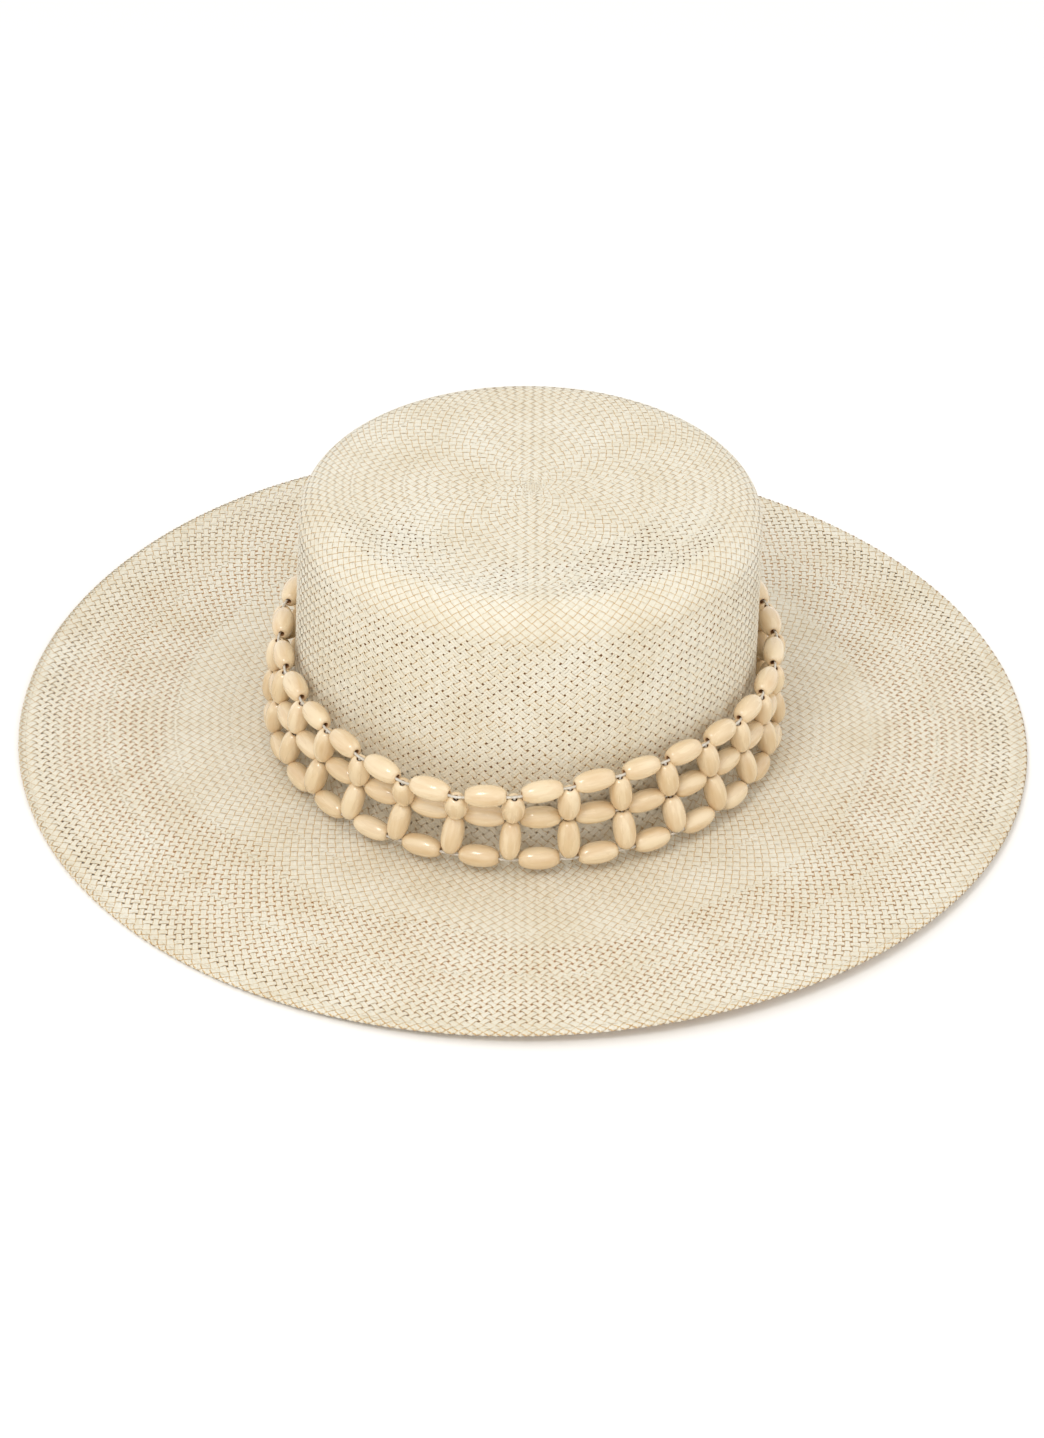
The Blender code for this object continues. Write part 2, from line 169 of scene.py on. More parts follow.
def profile():
    """The hat's outer face from the crown's centre round the brim's edge to the hem's end.

    Each row is half width, half length, height over the brim, outward and upward part of the
    normal, and the share of the brim's wave.
    """
    rows = []
    flat_width = TOP_HALF_WIDTH - SHOULDER_RADIUS
    flat_length = TOP_HALF_LENGTH - SHOULDER_RADIUS
    for share in np.linspace(0.0, 1.0, TOP_ROWS, endpoint=False):
        rows.append((flat_width * share, flat_length * share, CROWN_HEIGHT, 0.0, 1.0, 0.0))
    for angle in np.linspace(math.pi / 2, 0.0, SHOULDER_ROWS, endpoint=False):
        out, up = math.cos(angle), math.sin(angle)
        height = CROWN_HEIGHT - SHOULDER_RADIUS * (1 - up)
        width = flat_width + SHOULDER_RADIUS * out
        rows.append((width, flat_length + SHOULDER_RADIUS * out, height, out, up, 0.0))
    for share in np.linspace(1.0, 0.0, WALL_ROWS, endpoint=False):
        height = FILLET_RADIUS + share * (CROWN_HEIGHT - SHOULDER_RADIUS - FILLET_RADIUS)
        width = BASE_HALF_WIDTH + share * (TOP_HALF_WIDTH - BASE_HALF_WIDTH)
        length = BASE_HALF_LENGTH + share * (TOP_HALF_LENGTH - BASE_HALF_LENGTH)
        rows.append((width, length, height, 1.0, 0.0, 0.0))
    for angle in np.linspace(0.0, math.pi / 2, FILLET_ROWS, endpoint=False):
        out, up = math.cos(angle), math.sin(angle)
        forward = FILLET_RADIUS * (1 - out)
        height = FILLET_RADIUS * (1 - up)
        rows.append((BASE_HALF_WIDTH + forward, BASE_HALF_LENGTH + forward, height, out, up, 0.0))
    root_width = BASE_HALF_WIDTH + FILLET_RADIUS
    root_length = BASE_HALF_LENGTH + FILLET_RADIUS
    for share in np.linspace(0.0, 1.0, BRIM_ROWS, endpoint=False):
        width = root_width + share * (BRIM_HALF_WIDTH - root_width)
        length = root_length + share * (BRIM_HALF_LENGTH - root_length)
        wave = max(share - LEVEL_SHARE, 0.0) / (1 - LEVEL_SHARE)
        rows.append((width, length, 0.0, 0.0, 1.0, wave))
    for angle in np.linspace(math.pi / 2, -math.pi / 2, EDGE_ROWS, endpoint=False):
        out, up = math.cos(angle), math.sin(angle)
        forward = EDGE_RADIUS * out
        height = EDGE_RADIUS * (up - 1)
        rows.append((BRIM_HALF_WIDTH + forward, BRIM_HALF_LENGTH + forward, height, out, up, 1.0))
    for back in np.linspace(0.0, HEM_WIDTH, HEM_ROWS):
        width = BRIM_HALF_WIDTH - back
        rows.append((width, BRIM_HALF_LENGTH - back, -2 * EDGE_RADIUS, 0.0, -1.0, 1.0))
    return np.array(rows)


PROFILE = profile()
RADIUS = 0.5 * (PROFILE[:, 0] + PROFILE[:, 1])
STEPS = np.hypot(np.diff(RADIUS), np.diff(PROFILE[:, 2]))
RUN = np.concatenate([[0.0], np.cumsum(STEPS)])  # length along the profile
SHOULDER_RUN = float(RUN[TOP_ROWS])
WALL_RUN = float(RUN[WALL_START])
ROOT_RUN = float(RUN[BRIM_START])  # where the fillet ends and the flat brim begins
FOLD_RUN = float(RUN[FOLD_START])  # where the brim turns over its edge
MIDDLE_STEPS = STEPS / np.maximum(0.5 * (RADIUS[1:] + RADIUS[:-1]), 0.5 * MM)
SPREAD = np.concatenate([[0.0], np.cumsum(MIDDLE_STEPS)])  # steps over their radius, summed up


def surface(turn, spread, depth):
    """Points and outward normals at a turn, a spread and a depth under the hat's outer face."""
    width, length, height, out, up, share = (
        np.interp(spread, SPREAD, PROFILE[:, column]) for column in range(6)
    )
    size = np.hypot(out, up)
    out, up = out / size, up / size
    sine, cosine = np.sin(turn), np.cos(turn)
    flat = np.stack([sine * length, -cosine * width], axis=-1)
    flat /= np.maximum(np.linalg.norm(flat, axis=-1, keepdims=True), 1e-9)
    width, length, height = width - depth * out, length - depth * out, height - depth * up
    lean = CROWN_LEAN * np.maximum(height, 0.0) / CROWN_HEIGHT
    rise = BRIM_LEVEL + height + share * brim_wave(turn)
    points = np.stack([width * sine + lean, -length * cosine, rise], axis=-1)
    normals = np.concatenate([flat * out[..., None], up[..., None]], axis=-1)
    return points, normals


# ---------------------------------------------------------------- materials


class Nodes:
    """A material's node tree, with short ways to add to it."""

    def __init__(self, name):
        self.material = bpy.data.materials.new(name)
        self.material.use_nodes = True
        self.tree = self.material.node_tree
        self.shader = self.tree.nodes["Principled BSDF"]

    def add(self, kind, **values):
        """A new node. values name its properties and, where it has none so named, its inputs."""
        node = self.tree.nodes.new(kind)
        for name, value in values.items():
            if hasattr(node, name):
                setattr(node, name, value)
            else:
                node.inputs[name.replace("_", " ")].default_value = value
        return node

    def link(self, out, into):
        self.tree.links.new(out, into)

    def attribute(self, name):
        return self.add("ShaderNodeAttribute", attribute_name=name)

    def noise(self, scale, vector=None, detail=3.0):
        noise = self.add("ShaderNodeTexNoise", Scale=scale, Detail=detail)
        if vector is None:
            vector = self.add("ShaderNodeTexCoord").outputs["Object"]
        self.link(vector, noise.inputs["Vector"])
        return noise.outputs["Fac"]

    def ramp(self, factor, *stops):
        """A colour ramp. stops are (place, colour)."""
        ramp = self.add("ShaderNodeValToRGB")
        elements = ramp.color_ramp.elements
        while len(elements) < len(stops):
            elements.new(0.5)
        for element, (place, color) in zip(elements, stops):
            element.position = place
            element.color = (*color, 1.0)
        self.link(factor, ramp.inputs["Fac"])
        return ramp.outputs["Color"]

    def mix(self, factor, first, second, blend="MIX"):
        """Two colours mixed. Each of the three can be a value or an output to link."""
        mix = self.add("ShaderNodeMix", data_type="RGBA", blend_type=blend)
        for value, place in ((factor, 0), (first, 6), (second, 7)):
            socket = mix.inputs[place]
            if isinstance(value, bpy.types.NodeSocket):
                self.link(value, socket)
            else:
                socket.default_value = value if isinstance(value, float) else (*value, 1.0)
        return mix.outputs[2]

    def spread(self, factor, low, high):
        """The factor's range from 0 to 1 brought to the range from low to high."""
        span = self.add("ShaderNodeMapRange")
        span.inputs["To Min"].default_value = low
        span.inputs["To Max"].default_value = high
        self.link(factor, span.inputs["Value"])
        return span.outputs["Result"]

    def bump(self, height, strength, distance):
        bump = self.add("ShaderNodeBump", Strength=strength, Distance=distance)
        self.link(height, bump.inputs["Height"])
        self.link(bump.outputs["Normal"], self.shader.inputs["Normal"])

    def color(self, out):
        self.link(out, self.shader.inputs["Base Color"])

    def roughness(self, out):
        self.link(out, self.shader.inputs["Roughness"])


def straw_material():
    nodes = Nodes("woven_straw")
    tone = nodes.attribute("tone").outputs["Fac"]
    base = nodes.ramp(
        tone, (0.0, (0.69, 0.61, 0.45)), (0.25, (0.77, 0.72, 0.59)), (1.0, (0.81, 0.775, 0.67))
    )
    patches = nodes.noise(38.0, detail=4.0)
    stain = nodes.ramp(patches, (0.30, (0.93, 0.90, 0.84)), (0.65, (1.0, 1.0, 1.0)))
    base = nodes.mix(1.0, base, stain, "MULTIPLY")
    # Painted shade: the 'edge' attribute browns the strands' edges and undersides, standing in for
    # the shade and warm bounced light in the crevices and holes between strands.
    edge = nodes.attribute("edge").outputs["Fac"]
    shade = nodes.ramp(
        edge, (0.50, (1.0, 1.0, 1.0)), (0.82, (0.83, 0.62, 0.34)), (1.0, (0.48, 0.22, 0.06))
    )
    base = nodes.mix(1.0, base, shade, "MULTIPLY")
    fibre = nodes.noise(2600.0)
    fleck = nodes.ramp(fibre, (0.35, (0.94, 0.91, 0.85)), (0.6, (1.0, 1.0, 1.0)))
    nodes.color(nodes.mix(1.0, base, fleck, "MULTIPLY"))
    nodes.roughness(nodes.spread(fibre, 0.42, 0.62))
    nodes.bump(fibre, 0.25, 0.0001)
    nodes.shader.inputs["Sheen Weight"].default_value = 0.08
    return nodes.material


def wood_material():
    nodes = Nodes("bead_wood_gloss")
    place = nodes.attribute("bead_place").outputs["Vector"]
    tone = nodes.attribute("tone").outputs["Fac"]
    grain = nodes.noise(1.0, place, detail=5.0)
    light = nodes.ramp(grain, (0.30, (0.72, 0.52, 0.30)), (0.62, (0.86, 0.70, 0.47)))
    tint = nodes.ramp(tone, (0.0, (0.90, 0.86, 0.78)), (1.0, (1.0, 1.0, 1.0)))
    colored = nodes.mix(1.0, light, tint, "MULTIPLY")
    # Painted shade: the bore and the rim round it are darkened to brown, standing in for the shade
    # inside the hole.
    bore = nodes.attribute("bore").outputs["Fac"]
    nodes.color(nodes.mix(bore, colored, (0.42, 0.21, 0.09)))
    nodes.roughness(nodes.spread(grain, 0.20, 0.34))
    nodes.bump(grain, 0.08, 0.0002)
    nodes.shader.inputs["Coat Weight"].default_value = 0.7
    nodes.shader.inputs["Coat Roughness"].default_value = 0.10
    return nodes.material


def cord_material():
    nodes = Nodes("clear_cord")
    streak = nodes.noise(900.0)
    nodes.color(nodes.ramp(streak, (0.35, (0.70, 0.62, 0.49)), (0.65, (0.86, 0.81, 0.72))))
    nodes.roughness(nodes.spread(streak, 0.15, 0.3))
    nodes.bump(streak, 0.1, 0.0001)
    nodes.shader.inputs["Transmission Weight"].default_value = 0.25
    nodes.shader.inputs["IOR"].default_value = 1.5
    return nodes.material


def fabric_material(name, dark, light, scale):
    nodes = Nodes(name)
    weave = nodes.noise(scale, detail=2.0)
    slow = nodes.noise(60.0)
    cloth = nodes.ramp(weave, (0.35, dark), (0.65, light))
    shade = nodes.ramp(slow, (0.3, (0.93, 0.92, 0.9)), (0.7, (1.0, 1.0, 1.0)))
    nodes.color(nodes.mix(1.0, cloth, shade, "MULTIPLY"))
    nodes.roughness(nodes.spread(weave, 0.75, 0.95))
    nodes.bump(weave, 0.3, 0.0001)
    nodes.shader.inputs["Sheen Weight"].default_value = 0.15
    return nodes.material


def floor_material():
    nodes = Nodes("studio_floor")
    nodes.shader.inputs["Base Color"].default_value = (0.96, 0.94, 0.91, 1.0)
    nodes.shader.inputs["Roughness"].default_value = 0.9
    return nodes.material


# ---------------------------------------------------------------- mesh helpers


def keep_edges_sharp(mesh):
    """Keeps the two edges along each strand sharp: the first and third corners of its section."""
    ends = np.empty(2 * len(mesh.edges), np.int32)
    mesh.edges.foreach_get("vertices", ends)
    ends = ends.reshape(-1, 2)
    sharp = ((ends[:, 0] - ends[:, 1]) % 4 == 0) & (ends[:, 0] % 2 == 0)
    mesh.edges.foreach_set("use_edge_sharp", sharp)


def mesh_object(name, points, faces, material, attributes):
    """An object from arrays: points, and one array of faces for each number of corners."""
    mesh = bpy.data.meshes.new(name)
    corners = np.concatenate([face.reshape(-1) for face in faces]).astype(np.int32)
    totals = np.concatenate([np.full(len(face), face.shape[1]) for face in faces])
    starts = np.concatenate([[0], np.cumsum(totals)[:-1]]).astype(np.int32)
    mesh.vertices.add(len(points))
    mesh.vertices.foreach_set("co", points.astype(np.float32).reshape(-1))
    mesh.loops.add(len(corners))
    mesh.loops.foreach_set("vertex_index", corners)
    mesh.polygons.add(len(totals))
    mesh.polygons.foreach_set("loop_start", starts)
    mesh.update(calc_edges=True)
    mesh.validate()
    for key, values in attributes.items():
        kind, field = ("FLOAT", "value") if values.ndim == 1 else ("FLOAT_VECTOR", "vector")
        attribute = mesh.attributes.new(key, kind, "POINT")
        attribute.data.foreach_set(field, values.astype(np.float32).reshape(-1))
    mesh.materials.append(material)
    mesh.shade_smooth()
    if "edge" in mesh.attributes:
        keep_edges_sharp(mesh)
    obj = bpy.data.objects.new(name, mesh)
    bpy.context.scene.collection.objects.link(obj)
    return obj


class Shape:
    """Points, faces and attributes that are gathered before they become one object."""

    def __init__(self):
        self.points = []
        self.faces = {3: [], 4: []}
        self.attributes = {}
        self.count = 0

    def add(self, points, faces, **attributes):
        """Adds points, a list of face arrays that count from the first of them, and attributes."""
        points = points.reshape(-1, 3)
        self.points.append(points)
        for face in faces:
            self.faces[face.shape[1]].append(face + self.count)
        for key, values in attributes.items():
            self.attributes.setdefault(key, []).append(values)
        self.count += len(points)

    def build(self, name, material, body, slot, replaces=()):
        """Makes the object, on its body and in the place of its CAD nodes. slot is not used."""
        faces = [np.concatenate(face) for face in self.faces.values() if face]
        attributes = {key: np.concatenate(values) for key, values in self.attributes.items()}
        obj = mesh_object(name, np.concatenate(self.points), faces, material, attributes)
        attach(obj, body)
        if replaces:
            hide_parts(*replaces)
        return obj


def strand_faces(strands, sections):
    """Faces of closed strands with a four-sided section, laid out strand by strand."""
    start = 4 * (np.arange(strands)[:, None] * sections + np.arange(sections - 1)[None, :])
    start = start.reshape(-1)
    quads = []
    for side in range(4):
        other = (side + 1) % 4
        corners = [start + side, start + 4 + side, start + 4 + other, start + other]
        quads.append(np.stack(corners, 1))
    first = 4 * sections * np.arange(strands)
    last = first + 4 * (sections - 1)
    quads.append(np.stack([first, first + 1, first + 2, first + 3], 1))
    quads.append(np.stack([last, last + 3, last + 2, last + 1], 1))
    return np.concatenate(quads)


def add_strands(shape, points, normals, rise, width, tone, edges):
    """Strands along the second axis of points, each with a rounded back and belly.

    edges holds how much painted shade browns each strand's two edges, in its last axis.
    """
    along = np.gradient(points, axis=1)
    side = np.cross(normals, along)
    side /= np.maximum(np.linalg.norm(side, axis=-1, keepdims=True), 1e-12)
    middle = points + normals * rise[..., None]
    half = 0.5 * width[..., None] * side
    back = middle + STRAND_CROWN * normals
    belly = middle - STRAND_BELLY * normals
    sections = np.stack([middle + half, back, middle - half, belly], axis=2)
    strands, count = points.shape[:2]
    # Painted shade: none on a strand's back, a fixed amount on its belly, the given amounts on its
    # two edges.
    back_painted_shade = np.zeros((strands, count))
    belly_painted_shade = np.full((strands, count), BELLY_PAINTED_SHADE)
    edge = np.stack([edges[..., 0], back_painted_shade, edges[..., 1], belly_painted_shade], axis=-1).reshape(-1)
    tones = np.repeat(tone, 4 * count)
    shape.add(sections, [strand_faces(strands, count)], tone=tones, edge=edge)


def ring_faces(rings, sides, closed=True):
    """Quads between rings that follow each other. closed joins the last ring to the first."""
    rows = np.arange(rings if closed else rings - 1)
    start = rows[:, None] * sides
    following = ((rows + 1) % rings)[:, None] * sides
    column = np.arange(sides)[None, :]
    beside = (column + 1) % sides
    corners = [start + column, following + column, following + beside, start + beside]
    return np.stack([corner.reshape(-1) for corner in corners], 1)


def add_tube(shape, path, radius, sides=8, closed=False):
    """A round tube through the points of path, with flat ends unless it is closed."""
    path = np.asarray(path)
    count = len(path)
    if closed:
        along = np.roll(path, -1, axis=0) - np.roll(path, 1, axis=0)
    else:
        along = np.gradient(path, axis=0)
    along /= np.linalg.norm(along, axis=1, keepdims=True)
    up = np.tile(np.array([0.0, 0.0, 1.0]), (count, 1))
    steep = np.abs(along[:, 2]) > 0.8
    if steep.mean() > 0.5:
        up[steep] = (1.0, 0.31, 0.0)
    first = np.cross(along, up)
    first /= np.maximum(np.linalg.norm(first, axis=1, keepdims=True), 1e-9)
    second = np.cross(first, along)
    angles = 2 * math.pi * np.arange(sides) / sides
    radius = np.broadcast_to(radius, (count,))
    ring = (
        path[:, None, :]
        + radius[:, None, None] * np.cos(angles)[None, :, None] * first[:, None, :]
        + radius[:, None, None] * np.sin(angles)[None, :, None] * second[:, None, :]
    )
    caps = []
    if not closed:
        for middle, turn in ((0, 1), ((count - 1) * sides, -1)):
            fan = np.arange(1, sides - 1)
            triangle = np.stack([np.full(sides - 2, middle), middle + fan, middle + fan + 1], 1)
            caps.append(triangle[:, ::turn])
    shape.add(ring, [ring_faces(count, sides, closed), *caps])


# ---------------------------------------------------------------- woven straw


def openness(turn, run):
    """How open the weave is: 0 where its strands close up, 1 and more where holes show."""
    noise = np.sin(3 * turn + 41 * run / NOISE_LENGTH)
    noise *= np.sin(5 * turn - 17 * run / NOISE_LENGTH + 2.0)
    ripple = np.sin(60 * run / NOISE_LENGTH + 4 * np.sin(2 * turn))
    noise += 0.5 * np.sin(11 * turn + 1.3) * ripple
    top = run / SHOULDER_RUN
    patch = np.clip((top - 0.55) / 0.2, 0, 1) * np.clip(1.35 * np.cos(turn) - 0.2, 0, 1)
    patch *= np.clip(np.abs(np.sin(1.6 * turn)) + 0.1, 0, 1) * (run < SHOULDER_RUN + 4 * MM)
    wall = np.clip((run - WALL_RUN + 3 * MM) / (5 * MM), 0, 1)
    wall *= np.clip((ROOT_RUN - 6 * MM - run) / (6 * MM), 0, 1)
    out = run - ROOT_RUN
    edge = OPEN_BRIM_START + 4 * MM * np.sin(4 * turn + 0.6) + 3 * MM * np.sin(9 * turn)
    brim = np.clip((out - edge) / (7 * MM), 0, 1)
    brim *= np.clip((FOLD_RUN - CLOSED_RIM - run) / (2 * MM), 0, 1)
    total = np.maximum(np.maximum(2.6 * patch, wall), 1.30 * brim)
    return np.clip(total * (1.0 + 0.3 * noise) + 0.05 * noise, 0.0, 1.6)


def weave_zone(shapes, low, high, pairs, stretch=1.0):
    """One ring of the hat from spread low to high, woven from that many pairs each way.

    The strands run at 45 degrees to the radius, or flatter with a stretch over 1. They are shared
    out over the shapes.
    """
    count = 2 * pairs
    rows = max(3, round(count * (high - low) * stretch / math.pi))
    step = (high - low) / rows
    crossing = np.concatenate([[-STRAND_OVERHANG], np.arange(rows + 1), [rows + STRAND_OVERHANG]])
    whole = np.clip(np.round(crossing), 0, rows)
    for family in (0, 1):
        sign = 1 if family == 0 else -1
        index = np.arange(count)[:, None]
        other = index - sign * whole[None, :]
        turn = math.pi * (2 * index - sign * crossing[None, :]) / count
        spread = low + step * np.broadcast_to(crossing, turn.shape)
        run = np.interp(spread, SPREAD, RUN)
        radius = np.interp(spread, SPREAD, RADIUS)
        pitch = 2 * math.pi * radius / count / math.hypot(1.0, math.pi / (count * step))
        gap = TIGHT_GAP + (OPEN_GAP - TIGHT_GAP) * openness(turn, run)
        gap = gap * np.clip(random.normal(1.0, GAP_SPREAD, gap.shape), 0.1, 2.0)
        gap = np.clip(gap + random.normal(0.0, GAP_NOISE, gap.shape), 0.0, WIDEST_GAP)
        width = 0.5 * (2.0 - PAIR_GAP - gap)
        nearer = 0.5 - 0.5 * (width + PAIR_GAP)
        aside = np.where(index % 2 == 0, 1, -1) * nearer
        cross = np.where(other % 2 == 0, 1, -1) * nearer
        aside = aside + random.normal(0.0, STRAND_WANDER, aside.shape)
        turn = turn + math.pi * (aside + cross) / count
        shift = sign * (aside - cross)
        spread = np.clip(spread + step * shift, SPREAD[1], SPREAD[-1])
        points, normals = surface(turn, spread, WEAVE_DEPTH)
        over = (index // 2 + np.floor(other / 2)) % 2 == family
        rise = np.where(over, STRAND_RISE, -STRAND_RISE) - STRAND_SINK
        rise += random.normal(0.0, RISE_NOISE, rise.shape)
        rise[:, [0, -1]] = -STRAND_RISE
        tone = np.clip(random.beta(4.0, 1.6, count), 0, 1)
        # Painted shade on the strands' edges: outer beside the gap between pairs, inner between the
        # two strands of a pair, less on the crown where its weave is open.
        outer = random.normal(1.0, 0.16, gap.shape) - 0.25 * openness(turn, run) * (run < ROOT_RUN)
        outer = np.clip(outer, 0.0, 1.0)
        inner = np.clip(random.normal(0.35, 0.15, gap.shape), 0.0, 0.70)
        first = index % 2 == 1
        edges = np.stack([np.where(first, outer, inner), np.where(first, inner, outer)], axis=-1)
        width = width * pitch
        strands = (points, normals, rise, width, tone, edges)
        for shape, own in zip(shapes, np.array_split(np.arange(count), len(shapes))):
            add_strands(shape, *(values[own] for values in strands))


def spread_at(radius=None, run=None):
    """The spread at a radius on the crown's top or at a run."""
    if run is None:
        run = np.interp(radius, RADIUS[:TOP_ROWS], RUN[:TOP_ROWS])
    return float(np.interp(run, RUN, SPREAD))


def even(number):
    """The nearest even number that is 6 or more."""
    return 2 * max(3, round(number / 2))


def make_crown_top(material):
    """The crown's top, in rings of weave that grow from the rosette to where the wall's begins."""
    shape = Shape()
    for inner, outer in zip(TOP_RADII, TOP_RADII[1:]):
        pairs = even(math.pi * (inner + outer) / TOP_PAIR_PITCH)
        weave_zone([shape], spread_at(inner * MM), spread_at(outer * MM), pairs)
    add_rosette(shape)
    return shape.build("crown_top_weave", material, "hat", "straw", ["hat_body"])


def add_rosette(shape):
    """The small square of plain weave that the crown is begun from."""
    count = ROSETTE_STRANDS
    top = BRIM_LEVEL + CROWN_HEIGHT - WEAVE_DEPTH
    places = (np.arange(count) - 0.5 * (count - 1)) * ROSETTE_PITCH
    for family in (0, 1):
        index, other = np.meshgrid(np.arange(count), np.arange(count), indexing="ij")
        across, along = places[index], places[other] * 1.15
        flat = (across, along) if family else (along, across)
        points = np.stack([flat[0] + CROWN_LEAN, flat[1], np.full(across.shape, top)], axis=-1)
        normals = np.zeros_like(points)
        normals[..., 2] = 1.0
        rise = np.where((index + other) % 2 == family, STRAND_RISE, -STRAND_RISE)
        width = np.full(across.shape, 0.9 * ROSETTE_PITCH)
        # Painted shade on the rosette strands' edges.
        edges = np.full((count, count, 2), 0.8)
        add_strands(shape, points, normals, rise, width, np.full(count, 0.6), edges)


def make_crown_wall(material):
    """The shoulder and the wall, in one zone of strands that run from top to foot."""
    shapes = [Shape() for _ in range(WALL_PIECES)]
    edge = spread_at(TOP_RADII[-1] * MM)
    foot = spread_at(run=ROOT_RUN - WALL_FOOT)
    weave_zone(shapes, edge, foot, WALL_PAIRS, WALL_STRETCH)
    for number, shape in enumerate(shapes, 1):
        shape.build(f"crown_wall_weave_{number}", material, "hat", "straw", ["hat_body"])


def make_brim(material):
    """The brim, in zones from the crown's foot out, round the edge and back under as the hem."""
    flat = slice(BRIM_START, FOLD_START)
    places = [spread_at(run=ROOT_RUN - WALL_FOOT)]
    for radius in BRIM_RADII:
        places.append(spread_at(run=np.interp(radius * MM, RADIUS[flat], RUN[flat])))
    places.append(float(SPREAD[-1]) - HEM_MARGIN)
    zones = zip(places, places[1:], BRIM_PAIRS, BRIM_PIECES)
    for number, (inner, outer, pairs, pieces) in enumerate(zones, 1):
        shapes = [Shape() for _ in range(pieces)]
        weave_zone(shapes, inner, outer, pairs)
        for letter, shape in zip("abc", shapes):
            shape.build(f"brim_weave_{number}{letter}", material, "hat", "straw", ["hat_body"])


# ---------------------------------------------------------------- beads


def net_point(turn, offset, drift, height):
    """A point off the net's oval, moved outward, along the oval and up, and the outward normal."""
    normal = np.array([math.sin(turn) / NET_HALF_WIDTH, -math.cos(turn) / NET_HALF_LENGTH, 0.0])
    normal /= np.linalg.norm(normal)
    tangent = np.array([-normal[1], normal[0], 0.0])
    foot = np.array(
        [
            NET_HALF_WIDTH * math.sin(turn) + CROWN_LEAN * height / CROWN_HEIGHT,
            -NET_HALF_LENGTH * math.cos(turn),
            BRIM_LEVEL + height,
        ]
    )
    return foot + offset * normal + drift * tangent, normal


def column_turns():
    """Turns that share out the net's columns evenly along the crown's foot."""
    turns = FRONT_COLUMN_TURN + np.linspace(0.0, 2 * math.pi, TURN_SAMPLES)
    middle = 0.5 * (turns[1:] + turns[:-1])
    speed = np.hypot(NET_HALF_WIDTH * np.cos(middle), NET_HALF_LENGTH * np.sin(middle))
    lengths = np.concatenate([[0.0], np.cumsum(speed)])
    ahead = (np.arange(COLUMNS) - FRONT_COLUMN) % COLUMNS
    return np.interp(ahead * lengths[-1] / COLUMNS, lengths, turns)


def column_knots(turn):
    """The three crossings of one column's cord with the rows, bottom to top, and the normal.

    The leans and drifts are fitted to the beads seen in front and run on smoothly behind.
    """
    from_drape = math.remainder(turn - DRAPE_TURN, 2 * math.pi)
    drape = DRAPE_LEAN * math.exp(-((from_drape / DRAPE_SPREAD) ** 2))
    lower_lean = around(turn, -0.135, front=-0.073, right=-0.02, ends=-0.01)
    upper_lean = around(turn, -0.04, front=-0.06, right=0.055, corners=0.028) + drape
    middle_drift = MM * around(turn, 0.2, front=0.2, right=-3.35, corners=-0.4)
    top_drift = MM * around(turn, -1.5, front=2.5, right=-7.8, corners=-1.4)
    offset = MM * around(turn, 7.35, front=1.35, ends=-0.3)
    height = MM * around(turn, 6.7, front=-1.35, ends=0.8, corners=0.3)
    point, normal = net_point(turn, offset, 0.0, height)
    knots = [point]
    drift = 0.0
    for lean, new_drift in ((lower_lean, middle_drift), (upper_lean, top_drift)):
        reach = math.sqrt(RUNG_LENGTH**2 - (new_drift - drift) ** 2)
        offset += reach * math.sin(lean)
        height += reach * math.cos(lean)
        drift = new_drift
        knots.append(net_point(turn, offset, drift, height)[0])
    return np.array(knots), normal


def bead_profile(length, radius):
    """A bead's outline, from inside its bore out round one end to inside the bore again.

    Each row is the place along the bead, the radius, and how much painted shade darkens it, as
    inside the bore.
    """
    half = 0.5 * length
    rows = [(-0.55 * half, BORE_RADIUS, 1.0), (-half + 0.35 * MM, BORE_RADIUS, 1.0)]
    rows += [(-half + 0.05 * MM, BORE_RADIUS + 0.12 * MM, 0.55), (-half, 1.35 * MM, 0.1)]
    for share in np.linspace(-0.985, 0.985, 15):
        bulge = (1 - abs(share) ** 2.3) ** 0.72
        rows.append((share * half, BEAD_END_RADIUS + (radius - BEAD_END_RADIUS) * bulge, 0.0))
    rows += [(half, 1.35 * MM, 0.1), (half - 0.05 * MM, BORE_RADIUS + 0.12 * MM, 0.55)]
    rows += [(half - 0.35 * MM, BORE_RADIUS, 1.0), (0.55 * half, BORE_RADIUS, 1.0)]
    return np.array(rows)


def add_bead(shape, middle, along, length=BEAD_LENGTH):
    """A turned bead with a bore through it, as one closed surface."""
    length = length * random.uniform(0.97, 1.02)
    radius = BEAD_RADIUS * random.uniform(0.955, 1.02)
    outline = bead_profile(length, radius)
    along = along / np.linalg.norm(along)
    aside = (0.3, 0.2, 1.0) if abs(along[2]) < 0.9 else (1.0, 0.0, 0.0)
    first = np.cross(along, aside)
    first /= np.linalg.norm(first)
    second = np.cross(along, first)
    angles = 2 * math.pi * np.arange(BEAD_SIDES) / BEAD_SIDES + random.uniform(0, 6.28)
    spokes = np.cos(angles)[:, None] * first + np.sin(angles)[:, None] * second
    rings = outline[:, 0, None, None] * along + outline[:, 1, None, None] * spokes[None]
    local = np.stack(
        [
            np.outer(outline[:, 1], np.cos(angles)) * GRAIN_ACROSS,
            np.outer(outline[:, 1], np.sin(angles)) * GRAIN_ACROSS,
            np.outer(outline[:, 0], np.ones(BEAD_SIDES)) * GRAIN_ALONG,
        ],
        axis=-1,
    )
    local += random.uniform(-50, 50, 3)
    quads = ring_faces(len(outline), BEAD_SIDES)[:, [0, 3, 2, 1]]
    tone = np.full(len(outline) * BEAD_SIDES, np.clip(random.normal(0.6, 0.25), 0, 1))
    bore = np.repeat(outline[:, 2], BEAD_SIDES)
    shape.add(middle + rings, [quads], bead_place=local.reshape(-1, 3), tone=tone, bore=bore)


